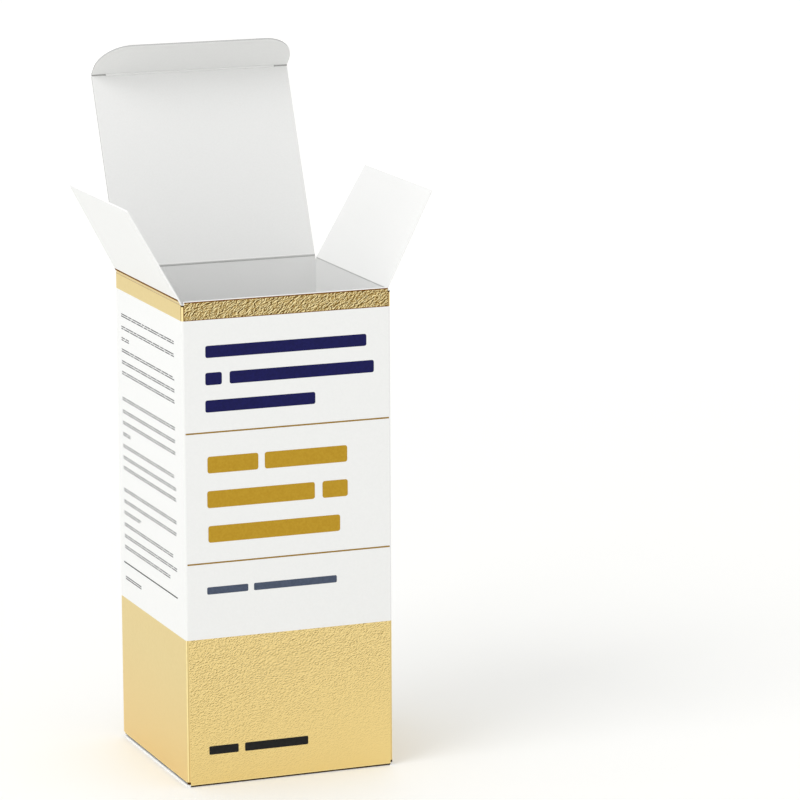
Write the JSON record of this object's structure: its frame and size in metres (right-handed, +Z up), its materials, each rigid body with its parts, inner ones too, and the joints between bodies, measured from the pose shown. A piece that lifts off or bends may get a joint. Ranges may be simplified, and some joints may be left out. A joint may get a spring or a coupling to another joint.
{
  "type": "box of tablets",
  "caption": "Tall folding carton of tablets, open at the top, with a lid and tuck flap, two dust flaps and foil blister cards standing inside.",
  "frame": {"origin": "centre of the carton's underside", "axes": "+Z up along the carton's height, -Y out of the printed front panel, +X to the right as seen from the front"},
  "size_m": [0.0952, 0.0855, 0.2118],
  "materials": {
    "carton_board": "matte",
    "gold_foil": "satin",
    "navy_ink": "matte",
    "gold_ink": "satin",
    "grey_ink": "matte",
    "blister_foil": "satin"
  },
  "bodies": {
    "carton": {"carton_body": "carton_board", "blister_card_1": "blister_foil", "blister_card_2": "blister_foil", "blister_card_3": "blister_foil", "blister_card_4": "blister_foil", "blister_card_5": "blister_foil", "blister_card_6": "blister_foil", "blister_card_7": "blister_foil", "blister_card_8": "blister_foil"},
    "lid": {"lid": "carton_board"},
    "tuck_flap": {"tuck_flap": "carton_board"},
    "left_dust_flap": {"left_dust_flap": "carton_board"},
    "right_dust_flap": {"right_dust_flap": "carton_board"}
  },
  "joints": [
    {"name": "lid_fold", "type": "hinge", "parent": "carton", "child": "lid", "pos_m": [0, 0.03075, 0.1462], "axis": [1, 0, 0], "range_deg": [-62, 113]},
    {"name": "tuck_fold", "type": "hinge", "parent": "lid", "child": "tuck_flap", "pos_m": [0, 0.05443, 0.20198], "axis": [1, 0, 0], "range_deg": [-20, 36]},
    {"name": "left_dust_fold", "type": "hinge", "parent": "carton", "child": "left_dust_flap", "pos_m": [-0.03225, 0, 0.1455], "axis": [0, 1, 0], "range_deg": [-56, 119]},
    {"name": "right_dust_fold", "type": "hinge", "parent": "carton", "child": "right_dust_flap", "pos_m": [0.03225, 0, 0.1455], "axis": [0, -1, 0], "range_deg": [-57, 118]}
  ],
  "couplings": [
    {"joint": "tuck_fold", "follows": "lid_fold", "ratio": 0.3}
  ]
}
